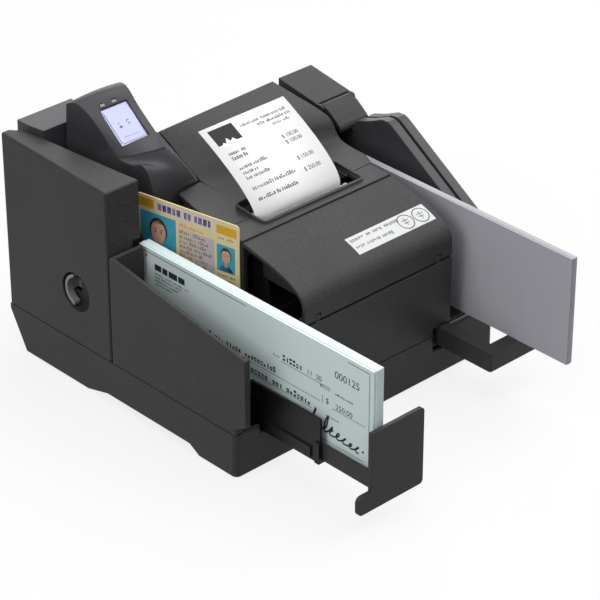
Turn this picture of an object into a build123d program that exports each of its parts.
"""Desktop cheque scanner with a receipt printer and a card reader, millimetres.

Layout values are measured from the left side (x), the front face (y) and the
underside of the lower case (z).  Every node is written about the row origin:
the middle of the overall footprint, on the desk, front towards -Y.
"""
from build123d import *
from math import atan2, cos, degrees, hypot, pi, radians, sin, tan
import os

# ---------------------------------------------------------------- clearances
FIT = 0.05          # radial running clearance of a pin or shaft
GAP = 0.3           # air between neighbouring bodies
SEAM = 0.8          # visible seam between casings
WALL = 2.5          # moulded wall
THIN = 1.6          # thin moulded or sheet wall

# ---------------------------------------------------------------- overall
BODY_W = 245.0      # left side to right side
BODY_D = 235.4      # front face to back at the case seam
BASE_H = 32.5       # lower case, underside to seam
BACK_TUCK = 16.0    # how far the back leans in at the desk
FOOT_PROUD = 1.2    # foot below the lower case
FOOT_R = 8.0
DECK_T = 2.2        # deck plate between lower case and mechanism

# ---------------------------------------------------------------- documents
DOC_H = 82.0        # personal cheque height
DOC_L = 225.0       # stack length
CARD_L = 85.6
CARD_H = 54.0
CARD_T = 0.8
PAPER_W = 79.5      # receipt paper
ROLL_R = 36.0       # part-used receipt roll
CORE_R = 9.0

# ---------------------------------------------------------------- pocket and tray
POCKET_Z = 30.4     # surface the scanned documents stand on
POCKET_REAR = 123.6
RIM_REAR_Z = 115.0
RIM_FRONT_Z = 93.7
POCKET_FRONT = -9.5
RIM_REAR_W = 28.0
RIM_FRONT_W = 4.5
STACK_X = 30.5      # left face of the scanned stack
STACK_T = 9.0
STACK_FRONT = -96.0
TRAY_X = 24.0       # outer face of the tray rail
TRAY_W = 26.0
STAGE1_FRONT = -54.0
STAGE1_TOP = 60.5
STAGE2_TOP = 41.0
STOP_Y = -100.4     # front face of the stop plate
STOP_T = 3.0
STOP_X0 = 24.7
STOP_X1 = 71.5
STOP_Z0 = 13.4
STOP_Z1 = 71.5

# ---------------------------------------------------------------- scanning side
SLANT = 11.5        # plan angle of the card path, degrees
COVER_FRONT = 125.5
COVER_TOP_F = 162.4
COVER_TOP_R = 167.0
COVER_FRONT_W = 28.7
LEFT_HINGE = (6.0, 226.0)
LEFT_HINGE_R = 8.0
TOWER_TOP = 171.0
TOWER_FRONT = 210.0
TOWER_X1 = 62.0
HOUSING_Z = 118.8   # seam between rear cover and panel housing
LEDGE_Z = 156.5
CARD_X = 60.3       # front end of the card
CARD_Y = 61.1
CARD_TOP = 141.0

# ---------------------------------------------------------------- printer
PRN_X0 = 61.6
PRN_X1 = 199.4
PRN_X2 = 207.0      # right side behind the paper exit
FRONT_SEAM_Z = 89.2
FRONT_COVER_Y = 59.4
TOP_Z = 130.0       # flat top round the paper exit
EXIT_X = 129.6      # middle of the receipt paper
EXIT_Y0 = 69.0
EXIT_Y1 = 80.0
ROLL_COVER_REAR = 187.3
SEAM_X = 97.0       # panel housing to roll cover
REAR_TOP = 118.0    # rear cover height
REAR_FRONT = 188.2

# ---------------------------------------------------------------- feeder and card reader
FEED_X = 215.0      # left face of the waiting documents
FEED_T = 5.5
FEED_Z = 37.7       # surface they stand on
FEED_FRONT = -94.0
ARM_X0 = 188.5
ARM_W = 10.0
ARM_Z0 = 23.2
ARM_FRONT = -49.4
ARM_X1 = 238.0
READER_X0 = 228.0
CARD_SLOT = 2.4
RIGHT_SEAM_Y = 148.0
LIP_Y = 125.6
LIP_Z = 131.5          # underside of the feeder cover's front edge

os.makedirs("parts", exist_ok=True)
ORIGIN = (BODY_W / 2, (STOP_Y + BODY_D) / 2, -FOOT_PROUD)


# ---------------------------------------------------------------- helpers
def box(x0, x1, y0, y1, z0, z1):
    size = (x1 - x0, y1 - y0, z1 - z0)
    return Pos((x0 + x1) / 2, (y0 + y1) / 2, (z0 + z1) / 2) * Box(*size)


def prism_x(x0, x1, outline):
    """Side outline of (y, z) points, run from x0 to x1."""
    face = Plane.YZ * make_face(Polyline(*outline, close=True))
    return Pos(x0, 0, 0) * extrude(face, amount=x1 - x0, dir=(1, 0, 0))


def smooth_face(curved, corners):
    """Face whose edge runs smoothly through the first points and straight through the corners."""
    straight = Polyline(curved[-1], *corners, curved[0])
    return Face(Wire([Spline(*curved), *straight.edges()]))


def prism_z(z0, z1, outline):
    """Plan outline of (x, y) points, run from z0 to z1."""
    face = make_face(Polyline(*outline, close=True))
    return Pos(0, 0, z0) * extrude(face, amount=z1 - z0, dir=(0, 0, 1))


def rod_z(x, y, z0, z1, r):
    return Pos(x, y, (z0 + z1) / 2) * Cylinder(r, z1 - z0)


def rod_x(x0, x1, y, z, r):
    return Pos((x0 + x1) / 2, y, z) * Rot(0, 90, 0) * Cylinder(r, x1 - x0)


def solids_of(shape):
    parts = shape if isinstance(shape, (list, tuple)) else [shape]
    return [solid for part in parts for solid in part.solids()]


def write(node, shape):
    moved = [Pos(-ORIGIN[0], -ORIGIN[1], -ORIGIN[2]) * s for s in solids_of(shape)]
    body = moved[0] if len(moved) == 1 else Compound(children=moved)
    export_step(body, f"parts/{node}.step")


# ---------------------------------------------------------------- lower case
ARCH_Z = 5.4        # relief under the case between the feet lands
TRAY_NOTCH_Z = 26.0
ARM_SLOT_X0 = 183.0
ARM_SLOT_Z0 = 19.5
ARM_SLOT_Z1 = 38.4
CASE_W = BODY_W - 1.0


def lower_case():
    side = [(0, 0), (36.7, 0), (46.3, ARCH_Z), (130.8, ARCH_Z), (151.7, 0),
            (BODY_D - BACK_TUCK, 0), (BODY_D, BASE_H - 4), (BODY_D, BASE_H), (0, BASE_H)]
    shell = prism_x(0, CASE_W, side)
    corners = shell.edges().filter_by(Axis.Z).group_by(Axis.Y)[0]
    shell = fillet(corners, 4.0)
    floor_z = ARCH_Z + WALL
    hollow = [(WALL, floor_z), (BODY_D - BACK_TUCK - WALL, floor_z), (BODY_D - WALL, BASE_H - 4),
              (BODY_D - WALL, BASE_H + 1), (WALL, BASE_H + 1)]
    shell -= prism_x(WALL, CASE_W - WALL, hollow)
    shell -= box(TRAY_X - 3, TRAY_X + TRAY_W + 2, -1, WALL + 1, TRAY_NOTCH_Z, BASE_H + 1)
    shell -= box(ARM_SLOT_X0, ARM_X0 + ARM_W + 1, -1, WALL + 1, ARM_SLOT_Z0, BASE_H + 1)
    for x, y in FEET:
        shell -= rod_z(x, y, -1, FOOT_SEAT, FOOT_R + FIT)
    shell -= box(*JACK_X, BODY_D - 20, BODY_D + 1, floor_z + 4, BASE_H + 1)
    for x, y in DECK_SCREWS:
        shell += rod_z(x, y, floor_z - 1, BASE_H, 4.0)
        shell -= rod_z(x, y, BASE_H - SCREW_L, BASE_H + 1, SCREW_R + FIT)
    return shell


FOOT_SEAT = 1.5
FOOT_INSET = 18.0
FEET_Y = (FOOT_INSET, BODY_D - BACK_TUCK - FOOT_INSET)
FEET = [(x, y) for x in (FOOT_INSET, CASE_W - FOOT_INSET) for y in FEET_Y]
SCREW_R = 1.5
SCREW_L = 12.0
DECK_SCREWS = [(75.0, 30.0), (170.0, 30.0), (75.0, 90.0), (150.0, 90.0), (190.0, 200.0)]
JACK_X = (88.0, 178.0)


def rubber_feet():
    return [rod_z(x, y, -FOOT_PROUD, FOOT_SEAT, FOOT_R) for x, y in FEET]


def deck_screws():
    """Pan-head screws that hold the deck to the lower case."""
    top = BASE_H + DECK_T
    return [rod_z(x, y, BASE_H - SCREW_L + 1, top, SCREW_R) + rod_z(x, y, top, top + 1.6, 3.0)
            for x, y in DECK_SCREWS]


# ---------------------------------------------------------------- deck
def main_deck():
    """Sheet deck that closes the lower case and carries the mechanism."""
    z0, z1 = BASE_H, BASE_H + DECK_T
    deck = box(WALL, CASE_W - WALL, WALL, BODY_D - WALL, z0, z1)
    deck = fillet(deck.edges().filter_by(Axis.Z).group_by(Axis.Y)[-1].sort_by(Axis.X)[-1:], REAR_R - WALL)
    deck -= box(-1, POCKET_CUT_X1, -1, STACK_FRONT + DOC_L + 1, z0 - 1, z1 + 1)
    deck -= box(READER_X0 - GAP, BODY_W, -1, READER_REAR + GAP, z0 - 1, z1 + 1)
    deck -= box(-1, TOWER_X0 + 2 * WALL + GAP, 205, BODY_D, z0 - 1, z1 + 1)
    deck -= prism_z(z0 - 1, z1 + 1, left_plan(-0.6))
    deck -= rod_z(*LEFT_HINGE, z0 - 1, z1 + 1, LEFT_HINGE_R + 2.6)
    deck -= box(-1, 4, POCKET_REAR - 3, BODY_D, z0 - 1, z1 + 1)
    deck -= box(ARM_SLOT_X0, ARM_X0 + ARM_W + 2.6, -1, ARM_BAY_Y, z0 - 1, z1 + 1)
    for x, y in DECK_SCREWS:
        deck -= rod_z(x, y, z0 - 1, z1 + 1, SCREW_R + FIT)
    for x, y, _ in ROLLERS:
        deck -= rod_z(x, y, z0 - 1, z1 + 1, SHAFT_R + FIT)
    deck -= rod_z(*MOTOR_AT, z0 - 1, z1 + 1, MOTOR_BOSS_R + 0.2)
    deck -= rod_z(*PRINT_MOTOR_WIRE, z0 - 1, z1 + 1, 4.0)
    return deck


POCKET_CUT_X1 = 56.0
ARM_BAY_Y = 101.0
SHAFT_R = 2.0
MOTOR_AT = (100.0, 100.0)
MOTOR_BOSS_R = 5.0
PRINT_MOTOR_WIRE = (185.0, 120.0)


# ---------------------------------------------------------------- pocket
POCKET_WALL = 3.0
RIM_ROUND = 1.2


def on_rim(edge):
    """Picks the sloping top edge of the pocket's outer side."""
    at = edge.center()
    return abs(at.X) < 0.01 and edge.length > 100 and at.Z > RIM_FRONT_Z


def pocket_outer_wall():
    """Outer side of the exit pocket: a thin wall with a foot on the lower case and a rear wall."""
    plan = [(0, POCKET_FRONT), (RIM_FRONT_W, POCKET_FRONT), (RIM_REAR_W, POCKET_REAR), (0, POCKET_REAR)]
    wall = prism_z(BASE_H + SEAM, RIM_REAR_Z + 2, plan)
    over = [(POCKET_FRONT - 1, RIM_FRONT_Z), (POCKET_REAR + 1, RIM_REAR_Z), (POCKET_REAR + 1, 140),
            (POCKET_FRONT - 1, 140)]
    wall -= prism_x(-1, RIM_REAR_W + 2, over)
    chin = [(POCKET_FRONT - 1, BASE_H - 1), (0.4, BASE_H - 1), (0.4, 38.0), (POCKET_FRONT - 1, 43.9)]
    wall -= prism_x(-1, RIM_REAR_W + 2, chin)
    wall = fillet(wall.edges().filter_by(on_rim), RIM_ROUND)
    return wall - box(POCKET_WALL, RIM_REAR_W + 2, POCKET_FRONT + POCKET_WALL, POCKET_REAR - WALL,
                      BASE_H + SEAM + WALL, RIM_REAR_Z + 3)


def pocket_floor():
    """Floor of the pocket, on two legs that stand in the lower case."""
    z0 = POCKET_Z - THIN
    floor = box(TRAY_X + 6, POCKET_CUT_X1 - GAP, WALL + GAP, POCKET_REAR - 2 - GAP, z0, POCKET_Z)
    floor += box(POCKET_CUT_X1 - 4, POCKET_CUT_X1 - GAP, WALL + GAP, POCKET_REAR - 2 - GAP,
                 ARCH_Z + WALL, z0 + 0.5)
    floor += box(TRAY_X + 6, POCKET_CUT_X1 - 2, POCKET_REAR - 12, POCKET_REAR - 8, ARCH_Z + WALL, z0 + 0.5)
    runner_z = TRAY_NOTCH_Z + 0.6 - GAP
    floor += box(TRAY_X, POCKET_CUT_X1 - 2, WALL + GAP, 70, runner_z - 2, runner_z)
    return floor


CARD_LEDGE_Z = CARD_TOP - CARD_H - GAP
CARD_LEDGE_X = 61.0


def pocket_inner_wall():
    """Upright between pocket and printer, with the ledge the card runs along."""
    wall = box(50.0, 52.0, WALL + GAP, POCKET_REAR - 3, POCKET_Z, CARD_LEDGE_Z - 1)
    plan = [(52.0, 12), (CARD_LEDGE_X, 12), (CARD_LEDGE_X, 100), (56.0, 118), (41.0, POCKET_REAR - 1),
            (41.0, 100)]
    ledge = prism_z(CARD_LEDGE_Z - 2.4, CARD_LEDGE_Z, plan)
    ledge += box(50.0, CARD_LEDGE_X - 1.2, 12, 20, CARD_LEDGE_Z - 8, CARD_LEDGE_Z - 2)
    return wall + ledge


# ---------------------------------------------------------------- tray
def tray_stage_1():
    """First telescoping piece: a rail with a side wall and a floor."""
    y0, y1 = STAGE1_FRONT, 66.0
    z0 = TRAY_NOTCH_Z + 0.6
    wall = box(TRAY_X, TRAY_X + 2, y0, y1, z0, STAGE1_TOP)
    over = [(12, STAGE1_TOP + 1), (12, STAGE1_TOP - 14), (y1 + 1, STAGE1_TOP - 22), (y1 + 1, STAGE1_TOP + 1)]
    wall -= prism_x(TRAY_X - 1, TRAY_X + 3, over)
    floor = box(TRAY_X, TRAY_X + TRAY_W, y0, y1, z0, z0 + 1.6)
    catch = box(TRAY_X - 1.2, TRAY_X, -46, -4, z0 + 2, z0 + 10)
    catch += box(TRAY_X - 1.2, TRAY_X, y0, y0 + 4, z0, z0 + 16)
    lip = box(TRAY_X + TRAY_W - 1.6, TRAY_X + TRAY_W, y0, -2, z0 + 1, z0 + 6)
    return wall + floor + catch + lip


def tray_stop():
    """Second telescoping piece: an inner rail that ends in the stop plate."""
    z0 = TRAY_NOTCH_Z + 0.6 + 1.6 + GAP
    back = STOP_Y + STOP_T
    rail = box(TRAY_X + 2 + GAP, TRAY_X + 4.2, back - 1, -10, z0, STAGE2_TOP)
    rail += box(TRAY_X + 2 + GAP, TRAY_X + TRAY_W - 1.6 - GAP, back - 1, -10, z0, z0 + 1.4)
    plate = box(STOP_X0, STOP_X1, STOP_Y, back, STOP_Z0, STOP_Z1)
    tall = plate.edges().filter_by(Axis.Y).group_by(Axis.X)[-1]
    plate = fillet(tall, 3.0)
    grip = box(STOP_X0 - 11.5, STOP_X0 + 1, STOP_Y, back, STOP_Z0, STOP_Z0 + 14)
    grip = fillet(grip.edges().filter_by(Axis.Y).group_by(Axis.X)[0], 4.0)
    return rail + plate + grip


# ---------------------------------------------------------------- left cover
def left_plan(inset=0.0):
    x, y = LEFT_HINGE
    return [(inset, COVER_FRONT + inset), (COVER_FRONT_W - inset, COVER_FRONT + inset),
            (COVER_FRONT_W - 3.0 - inset, 142.0), (x + LEFT_HINGE_R, y), (x, y + LEFT_HINGE_R),
            (inset, y + LEFT_HINGE_R)]


def on_show(edge):
    """True for the cover's upper left and upper front edges and its upright front corner."""
    at = edge.center()
    upper = at.Z > COVER_TOP_F - 1 and edge.length > 20 and (at.X < 0.01 or at.Y < COVER_FRONT + 0.01)
    corner = at.X < 0.01 and abs(at.Y - COVER_FRONT) < 0.01
    return upper or corner


COVER_ROUND = 1.5
DISH_Y = 160.5
DISH_Z = 73.0
DISH_R = 14.5
DISH_DEPTH = 8.0
LATCH_PIN = (11.0, 174.0)


def left_cover():
    """Door over the scanning side, hinged on an upright pin at the back."""
    z0 = BASE_H + SEAM
    door = prism_z(z0, COVER_TOP_R, left_plan())
    roof = [(COVER_FRONT - 1, COVER_TOP_F), (BODY_D, COVER_TOP_R), (BODY_D, 190), (COVER_FRONT - 1, 190)]
    door -= prism_x(-1, COVER_FRONT_W + 1, roof)
    door = fillet(door.edges().filter_by(on_show), COVER_ROUND)
    hollow = [(WALL, COVER_FRONT + WALL), (60, COVER_FRONT + WALL), (60, 212), (WALL, 212)]
    door -= prism_z(z0 + WALL, COVER_TOP_F - WALL, hollow)
    path_top = MECH_Z1 + 3
    door -= prism_z(z0 - 1, path_top, [(guide_x(128.5), 128.5), (60, 128.5), (60, 212), (guide_x(212), 212)])
    door -= box(COVER_FRONT_W - 6.7, 60, COVER_FRONT - 1, 129, z0 - 1, path_top)
    hx, hy = LEFT_HINGE
    for zc in HINGE_Z:
        bay = box(-1 + hx - LEFT_HINGE_R, 30, hy - LEFT_HINGE_R - 2, BODY_D + 1, zc - KNUCKLE, zc + KNUCKLE)
        door -= bay - box(-2, THIN, 0, BODY_D + 1, zc - KNUCKLE - 1, zc + KNUCKLE + 1)
    door -= rod_z(hx, hy, z0 - 1, HINGE_Z[1] + 14, HINGE_PIN_R + FIT)
    dish = Plane.YZ * (Pos(DISH_Y, DISH_Z) * Circle(DISH_R + 2.2))
    door += extrude(dish, amount=DISH_DEPTH + 2, dir=(1, 0, 0))
    scoop = Plane.YZ * (Pos(DISH_Y, DISH_Z) * Circle(DISH_R))
    y0, y1 = DISH_Y - DISH_R - 1, DISH_Y + DISH_R + 1
    ramp = [(-2, y0), (0.4, y0), (DISH_DEPTH, DISH_Y - 10.2), (DISH_DEPTH, y1), (-2, y1)]
    scooped = Pos(-1, 0, 0) * extrude(scoop, amount=DISH_DEPTH + 1, dir=(1, 0, 0))
    door -= scooped & prism_z(DISH_Z - 20, DISH_Z + 20, ramp)
    door -= box(DISH_DEPTH - 1, DISH_DEPTH + 4, 164.0, 173.2, DISH_Z - 5, DISH_Z + 5)
    return door


HINGE_PIN_R = 2.0
HINGE_Z = (60.0, 140.0)
KNUCKLE = 6.0


def left_hinge_pin():
    hx, hy = LEFT_HINGE
    return rod_z(hx, hy, HINGE_Z[0] - 20, HINGE_Z[1] + 12, HINGE_PIN_R)


def left_guide_panel():
    """Ribbed inner skin of the left cover, one side of the document path."""
    z0, z1 = BASE_H + SEAM + WALL + GAP, COVER_TOP_F - WALL - GAP
    y0, y1 = COVER_FRONT + WALL + GAP, 211.5
    outer = [(guide_x(y0), y0), (guide_x(y1), y1), (guide_x(y1) - 1.8, y1), (guide_x(y0) - 1.8, y0)]
    panel = prism_z(z0, z1, outer)
    for y in (140.0, 176.0):
        x = guide_x(y) - 1.4
        panel += box(WALL, x, y, y + 2, z0, DISH_Z - DISH_R - 6)
        panel += box(WALL, x, y, y + 2, DISH_Z + DISH_R + 6, z1)
    for x, y in PINCH_AT:
        for z in PINCH_Z:
            panel -= box(x - 9, x + 9, y - 8, y + 8, z - 8, z + 8)
        for z in (PINCH_Z[0] - 11, PINCH_Z[1] + 8):
            panel += box(x - 3.5, x + 4.0, y - 3.5, y + 3.5, z, z + 3)
            panel -= rod_z(x, y, z - 1, z + 4, PIN_R + FIT)
    panel -= box(0, 40, LATCH_PIN[1] - 14, LATCH_PIN[1] + 1.0, DISH_Z - 6, DISH_Z + 6)
    y0, y1 = FRONT_SENSOR_Y
    panel -= box(0, 40, y0 - GAP, y1 + GAP, MECH_Z0 + 8 - GAP, MECH_Z1 + GAP)
    return panel


def guide_x(y):
    """Inner face of the left guide panel at depth y."""
    return 24.8 - (y - COVER_FRONT) * tan(radians(7.5))


PINCH_R = 6.0
PINCH_Z = (52.0, 98.0)
PINCH_AT = [(guide_x(y) + 1.2 - PINCH_R, y) for y in (154.0, 196.0)]

# drive rollers: pick, rear right, rear left, then the two on the scanning side
ROLLER_R = 8.0
PICK_R = 12.0
PICK_X = FEED_X - 1.0 - PICK_R
ROLLERS = [(PICK_X, 122.0, PICK_R), (PICK_X, 172.0, PICK_R), (58.0, 212.0, ROLLER_R)] + \
          [(x + PINCH_R + 0.2 + ROLLER_R, y, ROLLER_R) for x, y in reversed(PINCH_AT)]
FRONT_SENSOR_Y = (180.0, 187.0)


def pinch_roller(x, y):
    """Idler roller of the left cover on its upright axle."""
    axle = rod_z(x, y, PINCH_Z[0] - 11.5, PINCH_Z[1] + 11.5, PIN_R)
    for z in PINCH_Z:
        axle += rod_z(x, y, z - 6.5, z + 6.5, PINCH_R)
    return axle


def cover_latch():
    """Finger lever in the dish of the left cover, with its hook behind."""
    fin = Plane.YZ * (Pos(DISH_Y, DISH_Z) * (Circle(DISH_R - 1.9) - Circle(DISH_R - 4.1)))
    fin = Pos(0.8, 0, 0) * extrude(fin, amount=DISH_DEPTH - 2.6, dir=(1, 0, 0))
    fin &= box(-1, 20, DISH_Y + 3.5, DISH_Y + 20, DISH_Z - 13.5, DISH_Z + 13.5)
    stem = box(4.0, 13.0, DISH_Y + DISH_R - 4.0, DISH_Y + DISH_R - 2.4, DISH_Z - 4, DISH_Z + 4)
    hook = box(11.0, 13.0, DISH_Y + DISH_R - 10, DISH_Y + DISH_R - 2.4, DISH_Z - 4, DISH_Z + 4)
    return fin + stem + hook


# ---------------------------------------------------------------- scanning mechanism
PATH_W = 2.7        # document path between guide panel and scan wall
SCAN_Y0 = 131.0
SCAN_Y1 = 208.0
MECH_Z0 = BASE_H + DECK_T
MECH_Z1 = 116.0
WINDOW_Z = ((41.0, 63.0), (87.0, 109.0))


def scan_x(y):
    """Near face of the scan wall at depth y."""
    return guide_x(y) + PATH_W


def scan_wall():
    """Inner wall of the scanning path, with windows for the drive rollers."""
    y0, y1 = SCAN_Y0, SCAN_Y1
    wall = prism_z(MECH_Z0, MECH_Z1, [(scan_x(y0), y0), (scan_x(y0) + THIN, y0), (scan_x(y1) + THIN, y1),
                                      (scan_x(y1), y1)])
    foot_x = scan_x(y0) + THIN
    wall += box(foot_x - 1, foot_x + 8, y0, y0 + 3, MECH_Z0, MECH_Z1)
    for x, y, r in ROLLERS[3:]:
        for z0, z1 in WINDOW_Z:
            wall -= box(x - 20, x + 20, y - r - 1.5, y + r + 1.5, z0, z1)
    wall -= box(0, 60, SENSOR_Y, SENSOR_Y + SENSOR_W, MECH_Z0 + 4, MECH_Z1 - 4)
    wall -= box(0, 60, NOZZLE_Y - 3, NOZZLE_Y + 3, NOZZLE_Z, NOZZLE_Z + 12)
    return wall


SENSOR_Y = 172.0
SENSOR_W = 12.0
NOZZLE_Y = 167.5
NOZZLE_Z = 52.0


def image_sensor_rear():
    """Contact image bar that reads the back of a document."""
    x = scan_x(SENSOR_Y + SENSOR_W) + 0.2
    y0, y1 = SENSOR_Y + GAP, SENSOR_Y + SENSOR_W - GAP
    bar = box(x, x + 12, y0, y1, MECH_Z0 + 4 + GAP, MECH_Z1 - 4 - GAP)
    bar += box(x + 5, x + 12, y0, y1, MECH_Z0, MECH_Z0 + 6)
    bar -= box(x - 1, x + 1.0, SENSOR_Y + 3, SENSOR_Y + 6, MECH_Z0 + 8, MECH_Z1 - 10)
    return bar


def image_sensor_front():
    """Contact image bar in the left cover, reads the front of a document."""
    y0, y1 = FRONT_SENSOR_Y
    return box(WALL, guide_x(y1) - GAP, y0, y1, MECH_Z0 + 8, MECH_Z1)


def magnetic_ink_head():
    """Head that reads the printed ink line near the document's lower edge."""
    y0 = 135.0
    x = scan_x(y0) + THIN
    return box(x + 0.1, x + 9, y0, y0 + 8, MECH_Z0, MECH_Z0 + 20)


def magnetic_heads():
    return [magnetic_ink_head(), magnetic_card_head()]


MAGNET_Y = 134.0


def cover_magnet():
    """Magnet on top of the scan wall that holds the left cover shut."""
    y = MAGNET_Y
    return box(guide_x(y) + GAP, scan_x(y) + 5, y, y + 10, MECH_Z1, MECH_Z1 + 8)


CARTRIDGE_X = 41.0


def ink_cartridge():
    """Endorsing cartridge with its nozzle at the scan wall, lifts out upwards."""
    x0 = CARTRIDGE_X
    case = box(x0, x0 + 16, NOZZLE_Y - 5, NOZZLE_Y + 26, MECH_Z0 + GAP, 80)
    snout = box(scan_x(NOZZLE_Y - 4) + THIN + GAP, x0 + 1, NOZZLE_Y - 3, NOZZLE_Y + 3, NOZZLE_Z - 4,
                NOZZLE_Z + 14)
    return case + snout


def cartridge_holder():
    x0 = CARTRIDGE_X - GAP
    z = MECH_Z0
    out = box(x0 - 1.5, x0, NOZZLE_Y + 4, NOZZLE_Y + 26, z, z + 14)
    out += box(x0 + 16 + 2 * GAP, x0 + 18, NOZZLE_Y - 5, NOZZLE_Y + 28, z, z + 14)
    out += box(x0 - 1.5, x0 + 18, NOZZLE_Y + 26 + GAP, NOZZLE_Y + 28, z, z + 14)
    return out


def drive_roller(x, y, r):
    """Upright shaft with two rubber tyres and a pulley under the deck."""
    shaft = rod_z(x, y, PULLEY_Z0, MECH_Z1 - 2, SHAFT_R)
    for z0, z1 in WINDOW_Z:
        shaft += rod_z(x, y, z0 + 3, z1 - 3, r)
    shaft += rod_z(x, y, PULLEY_Z0, PULLEY_Z1, PULLEY_R)
    shaft += rod_z(x, y, PULLEY_Z0 - 1, PULLEY_Z0, PULLEY_R + 1.2)
    return shaft


PULLEY_R = 6.0
PULLEY_Z0 = 23.0
PULLEY_Z1 = 30.0
BELT_T = 1.4


def pulley_loop(r):
    circles = [Pos(x, y) * Circle(r).edge() for x, y, _ in ROLLERS + [(*MOTOR_AT, 0)]]
    return make_hull(circles)


def drive_belt():
    """One belt round all the roller pulleys and the motor pulley."""
    ring = pulley_loop(PULLEY_R + 0.1 + BELT_T) - pulley_loop(PULLEY_R + 0.1)
    return Pos(0, 0, PULLEY_Z0 + 1) * extrude(ring, amount=PULLEY_Z1 - PULLEY_Z0 - 2, dir=(0, 0, 1))


def transport_motor():
    """Stepper motor that stands on the deck, with its shaft boss through it."""
    x, y = MOTOR_AT
    half = 18.0
    can = box(x - half, x + half, y - half, y + half, MECH_Z0, MECH_Z0 + 16)
    can = chamfer(can.edges().filter_by(Axis.Z), 5.0)
    can += rod_z(x, y, BASE_H - 0.5, MECH_Z0, MOTOR_BOSS_R)
    can -= rod_z(x, y, BASE_H - 2, MECH_Z0 + 12, SHAFT_R + FIT)
    return can


def motor_pulley():
    x, y = MOTOR_AT
    pulley = rod_z(x, y, PULLEY_Z0, MECH_Z0 + 11, SHAFT_R)
    pulley += rod_z(x, y, PULLEY_Z0, PULLEY_Z1, PULLEY_R)
    pulley += rod_z(x, y, PULLEY_Z0 - 1, PULLEY_Z0, PULLEY_R + 1.2)
    return pulley


def separation_roller():
    """Idle roller that holds back all but one document."""
    x, y = SEPARATOR_AT
    roller = rod_z(x, y, MECH_Z0 + 1, MECH_Z1 + 1, PIN_R)
    for z0, z1 in WINDOW_Z:
        roller += rod_z(x, y, z0 + 3, z1 - 3, 6.0)
    return roller


SEPARATOR_AT = (222.0, 172.0)


def roller_bracket():
    """Bracket that carries the separation roller at both ends."""
    x, y = SEPARATOR_AT
    z0, z1 = MECH_Z0, MECH_Z1 + 2
    back = box(x + 8, x + 10, y - 8, y + 8, z0, z1)
    for z in (z0, z1 - 3):
        ear = box(x - 4, x + 9, y - 6, y + 6, z, z + 3)
        back += ear
    back -= rod_z(x, y, z0 - 1, z1 + 1, PIN_R + FIT)
    return back


# ---------------------------------------------------------------- rear cover
REAR_R = 18.0


def rear_cover():
    """Low cover over the turn of the document path, at the back."""
    z0 = BASE_H + SEAM
    outer = box(TOWER_X0, BODY_W, REAR_FRONT, BODY_D, z0, REAR_TOP)
    outer = fillet(outer.edges().filter_by(Axis.Z).group_by(Axis.Y)[-1].sort_by(Axis.X)[-1:], REAR_R)
    outer = fillet(outer.edges().filter_by(Axis.X).group_by(Axis.Z)[-1].sort_by(Axis.Y)[-1:], 6.0)
    inner = box(TOWER_X0 + 2 * WALL, BODY_W - WALL, REAR_FRONT - 1, BODY_D - WALL, z0 - 1, REAR_TOP - WALL)
    inner = fillet(inner.edges().filter_by(Axis.Z).group_by(Axis.Y)[-1].sort_by(Axis.X)[-1:], REAR_R - WALL)
    outer -= inner
    corner = [(-1, REAR_FRONT - 1), (41, REAR_FRONT - 1), (41, TOWER_FRONT + 0.5), (17.1, TOWER_FRONT + 0.5),
              (TOWER_X0, LEFT_HINGE[1]), (-1, LEFT_HINGE[1])]
    outer -= prism_z(z0 - 1, REAR_TOP + 1, corner)
    outer -= box(BUTTON_X - 7 - GAP, BUTTON_X + 7 + GAP, BODY_D - 6, BODY_D + 1, BUTTON_Z - 5 - GAP,
                 BUTTON_Z + 5 + GAP)
    for k in range(7):
        z = 60.0 + 5 * k
        outer -= box(100, 150, BODY_D - WALL - 1, BODY_D + 1, z, z + 2)
    return outer


TOWER_X0 = 14.9


BUTTON_X = 197.0
BUTTON_Z = 55.0


def power_button():
    """Push button in the back of the rear cover, with a retaining flange."""
    key = box(BUTTON_X - 7, BUTTON_X + 7, BODY_D - 5, BODY_D + 1.2, BUTTON_Z - 5, BUTTON_Z + 5)
    y = BODY_D - WALL - GAP
    return key + box(BUTTON_X - 9, BUTTON_X + 9, y - 2.5, y, BUTTON_Z - 7, BUTTON_Z + 7)


def rear_guide():
    """Inner guide of the turn, with round corners for the documents to follow."""
    t = 2.0
    outer = guide_ring(0.0)
    body = outer - Pos(0, 0, -1) * guide_ring(t)
    x, y, r = ROLLERS[2]
    for z0, z1 in WINDOW_Z:
        body -= box(x - r - 1.5, x + r + 1.5, y - r - 3, y + r + 3, z0, z1)
    return body


def guide_ring(inset):
    step_y = REAR_FRONT + 0.5 + inset
    x0, x1, y0, y1 = 22 + inset, PRN_X2 + 1.5 - inset, 206 + inset, 219 - inset
    step_x = 160 + inset
    plan = [(x0, y0), (step_x, y0), (step_x, step_y), (x1, step_y), (x1, y1), (x0, y1)]
    solid = prism_z(MECH_Z0, MECH_Z1 - 4 + 3 * inset, plan)
    corners = solid.edges().filter_by(Axis.Z).group_by(Axis.Y)[-1]
    return fillet(corners, 10.0 - inset)


def rear_connectors():
    """Sockets on the lower case's back: power inlet, data and cash drawer."""
    z0 = ARCH_Z + WALL + 4 + GAP
    y0, y1 = BODY_D - 24, BODY_D - BACK_TUCK + 6
    out = []
    for x0, w, h in ((92.0, 22.0, 14.0), (120.0, 12.0, 12.0), (138.0, 14.0, 14.0), (158.0, 14.0, 14.0)):
        shell = box(x0, x0 + w, y0, y1, z0, z0 + h)
        shell -= box(x0 + 1.5, x0 + w - 1.5, y0 + 2, y1 + 1, z0 + 1.5, z0 + h - 1.5)
        out.append(shell)
    return out


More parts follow.
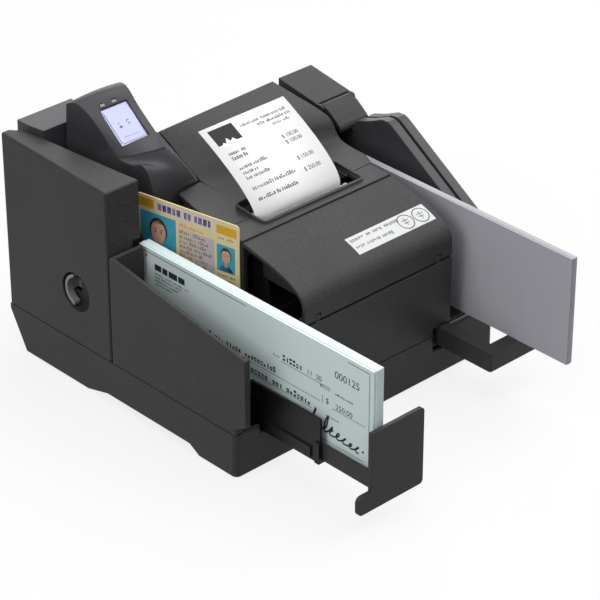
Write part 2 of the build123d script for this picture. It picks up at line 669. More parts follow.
def main_board():
    """Circuit board on pillars in the lower case, under the sockets."""
    z = ARCH_Z + WALL + 4
    board = box(66, 182, 100, BODY_D - 22, z - 1.6, z)
    for x in (72, 176):
        for y in (108, 196):
            board += rod_z(x, y, ARCH_Z + WALL, z - 1, 3.0)
    board += box(100, 126, 130, 156, z - 0.1, z + 2.4)
    board += box(140, 158, 130, 142, z - 0.1, z + 2.0)
    for x in (150, 162):
        board += rod_z(x, 176, z - 0.1, z + 8, 4.5)
    return board


# ---------------------------------------------------------------- panel housing
HOUSING_FRONT = ((51.0, 136.0), (96.3, 142.4))
HUMP_X1 = 78.0
HUMP_REAR = 209.5
HUMP_FOOT_Z = 134.0


def housing_plan(inset):
    (x0, y0), (x1, y1) = HOUSING_FRONT
    s = tan(radians(SLANT))
    rear_x = x0 - (TOWER_FRONT - y0) * s
    back, rear = ROLL_COVER_REAR - inset, BODY_D - inset
    return [(x0 + inset, y0 + inset), (x1 - inset, y1 + inset), (SEAM_X + 2.3 - inset, back),
            (TOWER_X1 - inset, back), (TOWER_X1 - inset, rear), (TOWER_X0 + inset, rear),
            (TOWER_X0 + inset, LEFT_HINGE[1]), (17.3 + inset, TOWER_FRONT + inset),
            (rear_x + inset, TOWER_FRONT + inset)]


# The apron falls from the ledge beside the left cover to the roll cover: its line at either side.
APRON_X = (46.0, 99.6)
APRON_RISE = 20.0 / 44.9
APRON_LEFT = [(190.0, LEDGE_Z), (168.4, LEDGE_Z), (150.0, 156.0), (143.0, 153.5), (139.0, 148.0),
              (136.5, 138.0), (135.0, 125.0)]
APRON_Y = (190.0, 178.0, 166.0, 158.0, 151.0, HOUSING_FRONT[1][1], 131.0)
APRON_RIGHT = [(y, TOP_Z + (y - HOUSING_FRONT[1][1]) * APRON_RISE) for y in APRON_Y]


def over_apron(inset):
    """Everything above the apron, or above its inside."""
    faces = []
    for x, line in zip(APRON_X, (APRON_LEFT, APRON_RIGHT)):
        low = [(x, y + inset, z - 1.2 * inset) for y, z in line]
        points = [(x, low[0][1], 200)] + low + [(x, 100, low[-1][2]), (x, 100, 200)]
        faces.append(Face(Wire.make_polygon(points, close=True)))
    left, right = faces
    return (loft(faces, ruled=True) + extrude(left, amount=30, dir=(-1, 0, 0))
            + extrude(right, amount=30, dir=(1, 0, 0)))


def housing_block(inset):
    block = prism_z(HOUSING_Z - (1 if inset else 0), TOWER_TOP - inset, housing_plan(inset))
    ledge = box(0, 120, 0, TOWER_FRONT + inset, LEDGE_Z - inset, 200)
    block -= ledge
    return block - over_apron(inset)


def hump():
    """Raised head of the operation panel, its face tilted towards the teller."""
    s = tan(radians(SLANT))
    left = [(207.0, 186.3), (199.3, 189.0), (183.3, 179.6), (170.0, 163.5), (163.0, 154)]
    mid = [(207.5, 187.0), (194.0, 191.0), (186.0, 184.0), (165.0, 167.4), (148.5, 154)]
    right = [(207.5, 186.0), (194.0, 190.0), (186.0, 183.2), (165.0, 166.6), (150.0, 154)]
    sections = []
    for outline, x_at, lean in ((left, 44.0, s), (mid, 56.0, s / 2), (right, HUMP_X1, 0.0)):
        line = [*outline, (outline[-1][0] - 0.5, HUMP_FOOT_Z), (HUMP_REAR, HUMP_FOOT_Z)]
        places = [(x_at - (y - 165.0) * lean, y, z) for y, z in line]
        sections.append(smooth_face(places[:-2], places[-2:]))
    return loft(sections)


PANEL_TILT = degrees(atan2(184.0 - 167.4, 186.0 - 165.0))
DISPLAY_AT = (60.0, 175.2, 175.5)
DISPLAY_W = 20.5
DISPLAY_H = 26.5


def panel_plane(dx=0.0, dy=0.0, lift=0.0):
    """Local frame of the tilted panel face, moved along it and off it."""
    t = radians(PANEL_TILT)
    x, y, z = DISPLAY_AT
    origin = Vector(x + dx, y + dy * cos(t) - lift * sin(t), z + dy * sin(t) + lift * cos(t))
    return Plane(origin=origin, x_dir=(1, 0, 0), z_dir=(0, -sin(t), cos(t)))


def panel_block(dx, dy, w, h, z0, z1):
    return panel_plane(dx, dy) * (Pos(0, 0, (z0 + z1) / 2) * Box(w, h, z1 - z0))


def panel_housing():
    shell = housing_block(0.0) - housing_block(WALL)
    shell += hump() - housing_block(WALL)
    shell -= panel_block(0, 0, DISPLAY_W + 3, DISPLAY_H + 3, -2.0, 8.0)
    for dx in LED_X:
        shell -= panel_block(dx, LED_DY, 4.4, 2.4, -3.0, 6.0)
    shell -= feed_button_shape(0.25, -8.0)
    return shell


LED_X = (-8.0, 2.0)
LED_DY = 17.2
BUTTON_AT = (87.0, 164.0)


def display_screen():
    pane = panel_block(0, 0, DISPLAY_W, DISPLAY_H, -2.0, -0.8)
    return pane + panel_block(0, 0, DISPLAY_W + 2.4, DISPLAY_H + 2.4, -2.0, -1.4)


def panel_leds():
    return [panel_block(dx, LED_DY, 4.0, 2.0, -3.0, 0.3) for dx in LED_X]


def feed_button_shape(extra, z0=-4.0):
    x, y = BUTTON_AT
    top = slope_z(x, y)
    return rod_z(x, y, top + z0, top + 1.6, 4.2 + extra)


def slope_z(x, y):
    """Height of the apron."""
    f = (x - APRON_X[0]) / (APRON_X[1] - APRON_X[0])
    line = [(a + (c - a) * f, b + (d - b) * f) for (a, b), (c, d) in zip(APRON_LEFT, APRON_RIGHT)]
    for (y1, z1), (y0, z0) in zip(line, line[1:]):
        if y0 <= y <= y1:
            return z0 + (z1 - z0) * (y - y0) / (y1 - y0)
    return line[-1][1]


def feed_button():
    return feed_button_shape(0.0)


# ---------------------------------------------------------------- right side
PIN_R = 1.5
BARREL_R = 3.0


def right_profile(z0):
    return [(RIGHT_SEAM_Y, z0), (REAR_FRONT - SEAM, z0), (REAR_FRONT - SEAM, 153.0), (RIGHT_SEAM_Y, 146.8)]


FEED_COVER_AXIS = (144.6, 143.8)
RIGHT_X0 = PRN_X2 + 6.0


def right_cover():
    """Casing over the rear right part of the document path."""
    z0 = BASE_H + SEAM
    shell = prism_x(RIGHT_X0, BODY_W, right_profile(z0))
    hollow = [(RIGHT_SEAM_Y - 1, z0 - 1), (REAR_FRONT, z0 - 1), (REAR_FRONT, 153.0 - WALL),
              (RIGHT_SEAM_Y - 1, 146.8 - WALL)]
    shell -= prism_x(RIGHT_X0 + WALL, BODY_W - WALL, hollow)
    shell -= box(RIGHT_X0 - 1, RIGHT_X0 + WALL + 1, 140, 190, z0 - 1, FEED_Z + DOC_H + 2)
    y, z = FEED_COVER_AXIS
    shell += box(BODY_W - WALL, BODY_W, READER_REAR + SEAM / 2, RIGHT_SEAM_Y + 1, z0, z - BARREL_R - 6)
    for x0 in (RIGHT_X0, BODY_W - CHEEK_T):
        shell += rod_x(x0, x0 + CHEEK_T, y, z, BARREL_R)
        shell += prism_x(x0, x0 + CHEEK_T, [(y, z - BARREL_R), (RIGHT_SEAM_Y + 1, z - BARREL_R - 2),
                                            (RIGHT_SEAM_Y + 1, 146.5), (y, z + BARREL_R)])
    shell -= rod_x(RIGHT_X0 + 0.6, BODY_W - 0.6, y, z, PIN_R + FIT)
    return shell


CHEEK_T = 1.8
READER_REAR = 138.0


def feeder_cover_pin():
    y, z = FEED_COVER_AXIS
    return rod_x(RIGHT_X0 + 0.8, BODY_W - 0.8, y, z, PIN_R)


def feeder_cover():
    """Curved lid over the feeder mouth, hinged at the casing behind it."""
    y, z = FEED_COVER_AXIS
    x0, x1 = RIGHT_X0 + CHEEK_T + GAP, BODY_W - CHEEK_T - GAP
    top = [(y, z + BARREL_R), (138, 144.3), (132, 140), (127, 136), (LIP_Y, LIP_Z + 2.5), (LIP_Y, LIP_Z),
           (128, 132.2), (133, 137.2), (139, 141.6), (y, z - BARREL_R + 1)]
    lid = prism_x(x0, x1, top) + rod_x(x0, x1, y, z, BARREL_R)
    rib = [(y, z + BARREL_R - 1), (132, 139), (128, 134), (134, 132), (y, z - BARREL_R + 1)]
    for xr in (x0, (x0 + x1) / 2 - 1, x1 - 2):
        lid += prism_x(xr, xr + 2, rib)
    return lid - rod_x(x0 - 1, x1 + 1, y, z, PIN_R + FIT)


# ---------------------------------------------------------------- card reader
READER_X1 = BODY_W
SLOT_X0 = 235.3
SLOT_Z = 88.0
READER_TOP = [(READER_REAR, 130.0), (LIP_Y - 0.5, 130.0), (LIP_Y - 0.5, 136.7), (110.0, 142.0), (98.0, 147.5),
              (92.0, 148.0), (88.0, 146.5), (27.0, 107.0), (10.0, 96.0)]


def reader_profile(inset):
    z0 = BASE_H + SEAM - (inset and inset + 1)
    top = [(y + (inset if y < 60 else 0) - (inset if y > 100 else 0), z - 1.2 * inset) for y, z in READER_TOP]
    return top + [(2.5 + inset, SLOT_Z - 2 - inset), (inset, 80.0 - inset), (inset, z0),
                  (READER_REAR - inset, z0)]


def card_reader():
    """Swipe reader on the right: two rails with a slot between them."""
    shell = prism_x(READER_X0, READER_X1, reader_profile(0.0))
    inner = prism_x(READER_X0 + WALL, READER_X1 - WALL, reader_profile(WALL))
    well = box(SLOT_X0 - THIN, SLOT_X0 + CARD_SLOT + THIN, -1, READER_REAR + 1, SLOT_Z - THIN, 160)
    shell -= inner - well
    shell -= box(SLOT_X0, SLOT_X0 + CARD_SLOT, -1, READER_REAR + 1, SLOT_Z, 160)
    shell -= box(SLOT_X0 - THIN - 1, SLOT_X0 + 1, HEAD_Y - 6 - GAP, HEAD_Y + 6 + GAP, HEAD_Z - 5 - GAP,
                 HEAD_Z + 5 + GAP)
    y, z = FEED_COVER_AXIS
    sweep = rod_x(READER_X0 - 1, READER_X1 + 1, y, z, hypot(y - LIP_Y, z - LIP_Z) + GAP)
    shell -= sweep & box(READER_X0 - 2, READER_X1 + 2, 100, LIP_Y, LIP_Z - GAP, 160)
    for y in HOPPER_PIN_Y:
        shell -= rod_x(READER_X0 - 1, READER_X0 + WALL + 1, y, HOPPER_PIN_Z, 2.0 + FIT)
    return shell


HEAD_Y = 80.0
HEAD_Z = 104.0
HOPPER_PIN_Y = (75.0, 110.0)
HOPPER_PIN_Z = 70.0


def magnetic_card_head():
    x = SLOT_X0
    head = box(x - THIN - 1.2, x + 0.3, HEAD_Y - 6, HEAD_Y + 6, HEAD_Z - 5, HEAD_Z + 5)
    return chamfer(head.edges().filter_by(Axis.Z).group_by(Axis.X)[-1], 0.8)


# ---------------------------------------------------------------- feeder
def feeder_floor():
    """Floor strip the waiting documents stand on, along the right side."""
    z0 = FEED_Z - 2.2
    strip = box(PRN_X2 + SEAM, READER_X0 - GAP, WALL + GAP, REAR_FRONT - 1, z0, FEED_Z)
    strip += box(PRN_X1 + SEAM, READER_X0 - GAP, WALL + GAP, 58, z0, FEED_Z)
    x, y = SEPARATOR_AT
    strip -= box(x - 4 - GAP, READER_X0, y - 8 - GAP, y + 8 + GAP, z0 - 1, FEED_Z + 1)
    for y in (30.0, 100.0, 150.0):
        strip += box(212, 226, y, y + 3, BASE_H + DECK_T, z0 + 0.5)
    return strip


def hopper_plate():
    """Sprung plate that presses the waiting documents to the pick roller."""
    plate = box(FEED_X + FEED_T + GAP, FEED_X + FEED_T + 2.8, 60, 124, FEED_Z + 4, 112)
    plate = fillet(plate.edges().filter_by(Axis.X), 5.0)
    for y in HOPPER_PIN_Y:
        plate += rod_x(FEED_X + FEED_T + 2, READER_X0 + WALL + 2, y, HOPPER_PIN_Z, 2.0)
    return plate


def feeder_arm():
    """L-shaped support that slides out under the waiting documents."""
    arm = box(ARM_X0, ARM_X0 + ARM_W, ARM_FRONT, 60, ARM_Z0, FEED_Z)
    arm += box(ARM_X0, ARM_X1, ARM_FRONT, ARM_FRONT + 10, ARM_Z0, FEED_Z)
    arm = fillet(arm.edges().filter_by(Axis.Z).group_by(Axis.Y)[0], 2.0)
    arm -= box(ARM_X0 + 2, ARM_X0 + ARM_W - 2, 4, 58, ARM_Z0 - 1, FEED_Z - 2.5)
    return arm


def arm_guide():
    """Channel in the lower case that the feeder support slides along."""
    x0, x1 = ARM_X0 - GAP, ARM_X0 + ARM_W + GAP
    z0 = ARM_Z0 - GAP
    guide = box(x0 - 2, x1 + 2, WALL + GAP, ARM_BAY_Y - 1, z0 - 2.2, BASE_H - 0.5)
    guide -= box(x0, x1, 0, ARM_BAY_Y + 1, z0, BASE_H + 1)
    guide += box(x0 + 4, x0 + 7, WALL + 2, ARM_BAY_Y - 4, ARCH_Z + WALL, z0 - 2)
    return guide


# ---------------------------------------------------------------- printer
PRN_Z1 = TOP_Z - 3.0 - GAP


def printer_plan(inset):
    return [(PRN_X0 + inset, inset), (PRN_X1 - inset, inset), (PRN_X1 - inset, 78.0), (PRN_X2 - inset, 93.0),
            (PRN_X2 - inset, ROLL_COVER_REAR - inset), (PRN_X0 + inset, ROLL_COVER_REAR - inset)]


def printer_case():
    """Open box round the printer; its front wall is the machine's front."""
    z0 = BASE_H + DECK_T
    case = prism_z(z0, PRN_Z1, printer_plan(0.0))
    case += box(PRN_X0, PRN_X1, 0, WALL - 0.1, BASE_H + SEAM, z0 + 1)
    case -= prism_z(z0 - 2, PRN_Z1 + 1, printer_plan(WALL))
    case -= box(PRN_X0 - 1, PRN_X1 + 1, -1, FRONT_COVER_Y, FRONT_SEAM_Z - GAP, 200)
    case -= box(PRN_X0 - 1, 110, POCKET_REAR + 8, 200, HOUSING_Z - GAP, 200)
    case -= box(PRN_X0 - 1, 110, EXIT_Y1, 200, HOUSING_Z - GAP, 200)
    case -= box(ARM_SLOT_X0, PRN_X1 + 1, -1, ARM_BAY_Y, BASE_H - 1, ARM_SLOT_Z1)
    for x, y, r in ROLLERS[:2]:
        case -= box(x, x + 20, y - r - 1, y + r + 1, z0 + 4, FEED_Z + DOC_H)
    case += box(PRN_X0 + 1, PRN_X1 - 1, FRONT_COVER_Y + 0.4, FRONT_COVER_Y + 2.4, z0, PRN_Z1)
    case -= box(66, 172, FRONT_COVER_Y, FRONT_COVER_Y + 3, z0 + 30, PRN_Z1 - 10)
    case -= box(ARM_SLOT_X0, PRN_X1 + 1, -1, ARM_BAY_Y, BASE_H - 1, ARM_SLOT_Z1)
    y, z = FRONT_AXIS
    for x in FRONT_EARS:
        case += rod_x(x, x + 4, y, z, FRONT_BARREL)
        case += box(x, x + 4, 0.6, y + FRONT_BARREL, z - 12, z)
    case -= rod_x(FRONT_EARS[0] - 4, FRONT_EARS[1] + 8, y, z, PIN_R + FIT)
    return case + roll_cover_ears()


FRONT_BARREL = 3.2
FRONT_AXIS = (FRONT_BARREL, FRONT_SEAM_Z + FRONT_BARREL)
FRONT_EARS = (72.0, 185.0)
ROLL_AXIS = (184.0, 141.0)
ROLL_EARS = (106.0, 192.0)


def roll_cover_ears():
    """Two uprights on the case's back wall that carry the roll cover's pin."""
    y, z = ROLL_AXIS
    out = box(ROLL_EARS[0] + 3, PRN_X2, ROLL_COVER_REAR - WALL, ROLL_COVER_REAR, PRN_Z1 - 9, z - 0.8)
    x = ROLL_EARS[1] + 4
    out -= box(x, x + 5, ROLL_COVER_REAR - 4, ROLL_COVER_REAR + 1, z - 3.4, z)
    for x in ROLL_EARS:
        out += rod_x(x, x + 4, y, z, BARREL_R)
        out += box(x, x + 4, y - BARREL_R, y + BARREL_R, PRN_Z1 - 12, z)
    return out - rod_x(ROLL_EARS[0] - 1, ROLL_EARS[1] + 5, y, z, PIN_R + FIT)


def roll_cover_pin():
    y, z = ROLL_AXIS
    return rod_x(ROLL_EARS[0] - 5, ROLL_EARS[1] + 9, y, z, PIN_R)


# Control points of the front cover's curve, outside and inside of its skin.
FRONT_CURVE = [(FRONT_COVER_Y, 129.0), (30.0, 123.3), (0.0, 117.5), (0.0, 102.0)]
FRONT_CURVE_IN = [(FRONT_COVER_Y, 126.4), (30.0, 120.6), (WALL, 115.4), (WALL, 102.5)]


def curve(control, steps=24):
    """Points along the cubic curve with four control points."""
    points = []
    for k in range(steps + 1):
        t = k / steps
        weights = ((1 - t) ** 3, 3 * t * (1 - t) ** 2, 3 * t * t * (1 - t), t ** 3)
        points.append(tuple(sum(w * p[i] for w, p in zip(weights, control)) for i in (0, 1)))
    return points


CHEEK_INSET = 18.0


def front_cover():
    """Curved front cover of the printer, hinged along its lower edge."""
    y, z = FRONT_AXIS
    inner = curve(FRONT_CURVE_IN)
    skin = prism_x(PRN_X0, PRN_X1, curve(FRONT_CURVE) + [(0.0, z), (WALL, z)] + inner[::-1])
    skin += rod_x(PRN_X0, PRN_X1, y, z, FRONT_BARREL)
    web = [(p, q + 0.5) for p, q in inner]
    for x in (100.0, 130.5, 160.0, PRN_X1 - 22):
        skin += prism_x(x, x + THIN, web + [(y, z + 2), (8, z + 2), (30, 114), (FRONT_COVER_Y, 122.0)])
    for x in (PRN_X0 + CHEEK_INSET, PRN_X1 - THIN):
        skin += prism_x(x, x + THIN, web + [(y, z + 2), (FRONT_COVER_Y, z + 4)])
    for x in FRONT_EARS:
        skin -= box(x - GAP, x + 4 + GAP, -1, 2 * FRONT_BARREL + GAP, z - FRONT_BARREL - 1,
                    z + FRONT_BARREL + GAP)
    return skin - rod_x(PRN_X0 - 1, PRN_X1 + 1, y, z, PIN_R + FIT)


def front_cover_pins():
    y, z = FRONT_AXIS
    return [rod_x(x - 3.6, x + 7.6, y, z, PIN_R) for x in FRONT_EARS]


EXIT_X0 = 90.0
EXIT_X1 = 179.0
RIM_W = 1.8
RIM_Y0 = 65.8
RIM_Y1 = 98.0


def exit_rim():
    """Rounded rim round the paper exit; it rises towards the back."""
    x, y = (EXIT_X0 + EXIT_X1) / 2, (RIM_Y0 + RIM_Y1) / 2
    w, d = EXIT_X1 - EXIT_X0 + 2 * RIM_W + 1.4, RIM_Y1 - RIM_Y0
    ring = RectangleRounded(w, d, 5.0) - RectangleRounded(w - 2 * RIM_W, d - 2 * RIM_W, 5.0 - RIM_W)
    rim = Pos(x, y, TOP_Z - 0.5) * extrude(ring, amount=8)
    top = [(RIM_Y0 - 1, TOP_Z + 1.4), (EXIT_Y1, TOP_Z + 2.0), (RIM_Y1 + 1, TOP_Z + 3.8),
           (RIM_Y1 + 1, TOP_Z + 9), (RIM_Y0 - 1, TOP_Z + 9)]
    return rim - prism_x(EXIT_X0 - 9, EXIT_X1 + 9, top)


def exit_bezel():
    """Flat frame round the paper exit, with a raised lip in front of it."""
    plate = prism_z(TOP_Z - 3, TOP_Z, [(PRN_X0, FRONT_COVER_Y + 0.6), (PRN_X1, FRONT_COVER_Y + 0.6),
                                       (PRN_X1 + 0.6, 78.0), (PRN_X1 + 1.6, EXIT_Y1), (PRN_X0, EXIT_Y1)])
    plate -= box(EXIT_X0, EXIT_X1, EXIT_Y0, EXIT_Y1 + 1, TOP_Z - 4, TOP_Z + 1)
    ridge = box(EXIT_X0, EXIT_X1, EXIT_Y0 - 1, EXIT_Y0, TOP_Z - 2, TOP_Z + 1)
    return plate + ridge + exit_rim() & box(0, BODY_W, FRONT_COVER_Y, EXIT_Y1, TOP_Z - 5, TOP_Z + 9)


# ---------------------------------------------------------------- roll paper cover
WAVE_LEFT = [(80.6, 130.0), (120.0, 130.0), (143.0, 130.2), (158.0, 136.0), (172.0, 143.5), (180.0, 147.0),
             (ROLL_COVER_REAR, 150.0)]
WAVE_RIGHT = [(80.6, 130.0), (107.0, 130.2), (117.5, 132.0), (122.0, 137.0), (126.0, 144.0), (134.0, 147.5),
              (ROLL_COVER_REAR, 152.5)]
ROLL_SKIN = 3.0
NOTCH_REAR = 90.0
ROLL_SWING = 0.3       # extra room beside the panel as the lid swings back


def softened(points, rounds=3):
    """Corners of a line cut off again and again, so that it bends softly."""
    for _ in range(rounds):
        cut = [points[0]]
        for (a, b), (c, d) in zip(points, points[1:]):
            cut += [(0.75 * a + 0.25 * c, 0.75 * b + 0.25 * d), (0.25 * a + 0.75 * c, 0.25 * b + 0.75 * d)]
        points = cut + [points[-1]]
    return points


def wave_block(x0, x1, drop, rear, bottom):
    """Solid under the wave-shaped top, lowered by drop."""
    faces = []
    for x, wave in ((x0, WAVE_LEFT), (x1, WAVE_RIGHT)):
        points = [(x, y, z - drop) for y, z in softened([(min(y, rear), z) for y, z in wave])]
        points += [(x, rear, bottom), (x, wave[0][0], bottom)]
        faces.append(Face(Wire.make_polygon(points, close=True)))
    return loft(faces, ruled=True)


def roll_paper_cover():
    """Lid over the paper roll, hinged at the back; its top rises in a wave."""
    bottom = TOP_Z - ROLL_SKIN
    outer = wave_block(SEAM_X, PRN_X2, 0.0, ROLL_COVER_REAR, bottom)
    inner = wave_block(SEAM_X - 3, PRN_X2 - ROLL_SKIN, ROLL_SKIN, ROLL_COVER_REAR - WALL, bottom - 1)
    lid = outer - inner
    plan = [(SEAM_X - 1, EXIT_Y1 + GAP), (PRN_X1 + 1.6, EXIT_Y1 + GAP), (PRN_X2, 93.0), (PRN_X2, 190.0),
            (SEAM_X + 2.3 + SEAM, 190.0), (HOUSING_FRONT[1][0] + SEAM + ROLL_SWING, HOUSING_FRONT[1][1]),
            (SEAM_X - 1, 141.0)]
    lid &= prism_z(bottom - 1, 160, plan)
    front = EXIT_Y1 + GAP + 0.3
    lid += prism_z(bottom, TOP_Z, [(63.0, front), (SEAM_X + 1, front), (SEAM_X + 1, 141.4), (74.5, 138.2),
                                   (69.0, 117.0)])
    lid -= box(EXIT_X0, EXIT_X1, EXIT_Y1 - 1, RIM_Y1 - RIM_W, TOP_Z - 1.4, TOP_Z + 1)
    lid -= box(EXIT_X0 + 2, EXIT_X1 - 2, EXIT_Y1 - 1, NOTCH_REAR, bottom - 1, TOP_Z + 1)
    lid += exit_rim() & box(0, BODY_W, front, 120, TOP_Z - 5, TOP_Z + 9)
    y, z = ROLL_AXIS
    lid -= box(SEAM_X, PRN_X2 + 1, ROLL_COVER_REAR - 2 * WALL - 1, ROLL_COVER_REAR + 1, bottom - 2,
               z + BARREL_R + GAP)
    for x in (ROLL_EARS[0] - 4 - GAP, ROLL_EARS[1] + 4 + GAP):
        lid += rod_x(x, x + 4, y, z, BARREL_R)
        lid += box(x, x + 4, y - BARREL_R, y + BARREL_R, z, z + 5)
        lid -= rod_x(x - 1, x + 5, y, z, PIN_R + FIT)
    return lid


# ---------------------------------------------------------------- print mechanism
PLATEN_AT = (71.5, 119.5)
PLATEN_R = 5.0
GEAR_X = 172.6
GEAR_T = 3.4
PLATEN_GEAR_R = 7.0
MOTOR_GEAR_R = 5.0
GEAR_AIR = 0.3
PRINT_MOTOR_Z = PLATEN_AT[1] - PLATEN_GEAR_R - MOTOR_GEAR_R - GEAR_AIR
FRAME_X = (86.0, 169.9)
FRAME_T = 2.4


def print_frame():
    """Two side plates with a tie bar; carries the platen and the cutter."""
    y, z = PLATEN_AT
    frame = box(FRAME_X[0], FRAME_X[1] + FRAME_T, 63.5, 66, 90, 94)
    for x in FRAME_X:
        frame += box(x, x + FRAME_T, 62.5, 77.2, BASE_H + DECK_T, 126.2)
        frame -= rod_x(x - 1, x + FRAME_T + 1, y, z, 2.0 + FIT)
        frame -= box(x - 1, x + FRAME_T + 1, 61, 69.5, 124.0, 127)
    return frame + paper_cutter()


def platen_roller():
    y, z = PLATEN_AT
    shaft = rod_x(FRAME_X[0] - 2, GEAR_X + GEAR_T, y, z, 2.0)
    shaft += rod_x(FRAME_X[0] + FRAME_T + GAP, FRAME_X[1] - GAP, y, z, PLATEN_R)
    return shaft + toothed(GEAR_X, GEAR_T, y, z, PLATEN_GEAR_R)


def toothed(x, t, y, z, r):
    """Gear drawn as a disc with shallow notches round its rim."""
    gear = rod_x(x, x + t, y, z, r)
    count = int(2 * r)
    for k in range(count):
        a = 2 * pi * k / count
        gear -= rod_x(x - 1, x + t + 1, y + (r + 0.2) * cos(a), z + (r + 0.2) * sin(a), 0.6)
    return gear


def print_motor():
    y = PLATEN_AT[0]
    x0 = GEAR_X + GEAR_T + GAP
    can = rod_x(x0, x0 + 16, y, PRINT_MOTOR_Z, 9.0)
    can += box(x0, x0 + 12, FRONT_COVER_Y + 2.4, y, PRINT_MOTOR_Z - 8, PRINT_MOTOR_Z + 8)
    return can - rod_x(x0 - 1, x0 + 10, y, PRINT_MOTOR_Z, PIN_R + FIT)


def print_motor_gear():
    y = PLATEN_AT[0]
    x0 = GEAR_X
    gear = toothed(x0, GEAR_T, y, PRINT_MOTOR_Z, MOTOR_GEAR_R)
    return gear + rod_x(x0, x0 + GEAR_T + 9, y, PRINT_MOTOR_Z, PIN_R)


def paper_cutter():
    """Fixed serrated blade just under the paper exit."""
    x0, x1 = FRAME_X[0], FRAME_X[1] + FRAME_T
    z = 126.2
    blade = box(x0, x1, 68.0, 75.8, z, z + 0.7)
    for k in range(19):
        blade -= rod_z(x0 + 4 + 4.35 * k, 76.2, z - 1, z + 2, 1.2)
    return blade


def thermal_head():
    """Print head under the roll cover, facing the platen."""
    head = box(92, 167, 79.0 + 1.8, 84, 114, TOP_Z - ROLL_SKIN - 0.0)
    head += box(92, 167, 84, 92, TOP_Z - ROLL_SKIN - 4, TOP_Z - ROLL_SKIN)
    head += box(98, 161, 79.2, 82, 116, 121)
    return head


ROLL_AT = (143.0, 82.0)


def roll_bucket():
    """Half-round trough the paper roll lies in, on two side plates."""
    y, z = ROLL_AT
    r = ROLL_R + GAP + 0.4
    x0, x1 = EXIT_X - PAPER_W / 2 - 1.5, EXIT_X + PAPER_W / 2 + 1.5
    trough = rod_x(x0, x1, y, z, r + THIN) - rod_x(x0 - 1, x1 + 1, y, z, r)
    trough -= box(x0 - 1, x1 + 1, y - 60, y + 60, z + 6, z + 60)
    for x in (x0 - 2, x1):
        plate = box(x, x + 2, y - 23.5, y + 23.5, BASE_H + DECK_T, z + 6)
        plate += rod_x(x, x + 2, y, z, r + THIN) - box(x - 1, x + 3, y - 60, y + 60, z + 6, z + 60)
        trough += plate
    return trough


def paper_roll():
    y, z = ROLL_AT
    x0, x1 = EXIT_X - PAPER_W / 2, EXIT_X + PAPER_W / 2
    return rod_x(x0, x1, y, z, ROLL_R) - rod_x(x0 - 1, x1 + 1, y, z, CORE_R)


RECEIPT_T = 0.3
RECEIPT_Y = 77.6
RECEIPT_FOOT = 122.5
RECEIPT_BEND = 129.0


def receipt_points():
    """Side view of the printed slip: up through the exit, then curling back."""
    points = [(RECEIPT_Y, RECEIPT_FOOT), (RECEIPT_Y, RECEIPT_BEND)]
    for k in range(1, 9):
        t = k / 8
        points.append((RECEIPT_Y + 57.0 * t ** 1.25, RECEIPT_BEND + 44.0 * t ** 0.82))
    return points


def receipt():
    outline = receipt_points()
    back = [(y + 0.8 * RECEIPT_T, z - 0.6 * RECEIPT_T) for y, z in outline[2:]]
    back = [(y + RECEIPT_T, z) for y, z in outline[:2]] + back
    x0, x1 = EXIT_X - PAPER_W / 2, EXIT_X + PAPER_W / 2
    return prism_x(x0 + 0.6, x1 - 0.6, outline + back[::-1])


# ---------------------------------------------------------------- documents
def scanned_stack():
    """Scanned documents standing in the exit pocket."""
    z0 = POCKET_Z + GAP
    return box(STACK_X, STACK_X + STACK_T, STACK_FRONT, STACK_FRONT + DOC_L, z0, z0 + DOC_H)


def waiting_stack():
    """Documents waiting in the feeder, standing on their long edge."""
    z0 = FEED_Z + GAP
    return box(FEED_X, FEED_X + FEED_T, FEED_FRONT, FEED_FRONT + DOC_L, z0, z0 + DOC_H)


def id_card():
    z0 = CARD_LEDGE_Z + GAP
    card = box(-CARD_T / 2, CARD_T / 2, 0, CARD_L, z0, z0 + CARD_H)
    card = fillet(card.edges().filter_by(Axis.X), 3.0)
    return Pos(CARD_X, CARD_Y, 0) * Rot(0, 0, SLANT) * card


# ---------------------------------------------------------------- hinge brackets
def mechanism_brackets():
    """Small holders that stand on the deck or on the rear casings."""
    return [roller_bracket(), cartridge_holder(), cover_magnet(), arm_guide()] + left_hinge_brackets()


def hinge_pins():
    return [left_hinge_pin(), feeder_cover_pin(), roll_cover_pin()] + front_cover_pins()


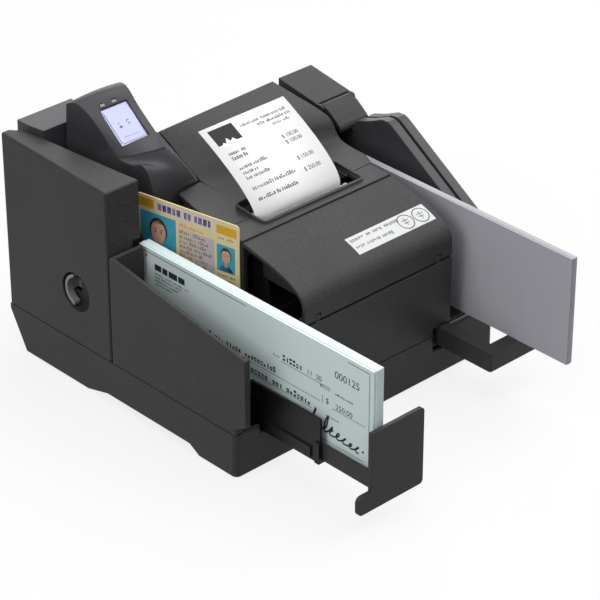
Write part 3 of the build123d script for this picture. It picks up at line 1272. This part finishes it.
def left_hinge_brackets():
    """Knuckles for the left cover's pin, standing off the rear casings."""
    hx, hy = LEFT_HINGE
    out = []
    for zc in HINGE_Z:
        h = KNUCKLE - GAP
        arm = box(hx, TOWER_X0 - 0.05, hy - 2.6, hy + 2.6, zc - h, zc + h)
        arm += rod_z(hx, hy, zc - h, zc + h, 3.6)
        out.append(arm - rod_z(hx, hy, zc - h - 1, zc + h + 1, HINGE_PIN_R + FIT))
    return out


# ---------------------------------------------------------------- output
NODES = {
    "lower_case": lower_case, "rubber_feet": rubber_feet, "deck_screws": deck_screws, "main_deck": main_deck,
    "main_board": main_board, "rear_connectors": rear_connectors, "hinge_pins": hinge_pins,
    "mechanism_brackets": mechanism_brackets, "magnetic_heads": magnetic_heads,
    "pocket_outer_wall": pocket_outer_wall, "pocket_floor": pocket_floor,
    "pocket_inner_wall": pocket_inner_wall,
    "tray_stage_1": tray_stage_1, "tray_stop": tray_stop, "left_cover": left_cover,
    "left_guide_panel": left_guide_panel, "cover_latch": cover_latch,
    "image_sensor_front": image_sensor_front,
    "scan_wall": scan_wall, "image_sensor_rear": image_sensor_rear, "ink_cartridge": ink_cartridge,
    "transport_motor": transport_motor, "motor_pulley": motor_pulley, "drive_belt": drive_belt,
    "rear_guide": rear_guide, "separation_roller": separation_roller, "rear_cover": rear_cover,
    "power_button": power_button, "panel_housing": panel_housing, "display_screen": display_screen,
    "panel_leds": panel_leds, "feed_button": feed_button, "right_cover": right_cover,
    "feeder_cover": feeder_cover, "card_reader": card_reader, "feeder_floor": feeder_floor,
    "hopper_plate": hopper_plate, "feeder_arm": feeder_arm, "printer_case": printer_case,
    "front_cover": front_cover, "exit_bezel": exit_bezel, "roll_paper_cover": roll_paper_cover,
    "print_frame": print_frame, "platen_roller": platen_roller, "print_motor": print_motor,
    "print_motor_gear": print_motor_gear, "thermal_head": thermal_head,
    "roll_bucket": roll_bucket, "paper_roll": paper_roll, "receipt": receipt,
    "scanned_stack": scanned_stack, "waiting_stack": waiting_stack, "id_card": id_card,
}

for name, make in NODES.items():
    write(name, make())
DRIVEN = ("pick_roller", "rear_roller_right", "rear_roller_left", "scan_roller_2", "scan_roller_1")
for name, (x, y, r) in zip(DRIVEN, ROLLERS):
    write(name, drive_roller(x, y, r))
for name, (x, y) in zip(("pinch_roller_1", "pinch_roller_2"), PINCH_AT):
    write(name, pinch_roller(x, y))
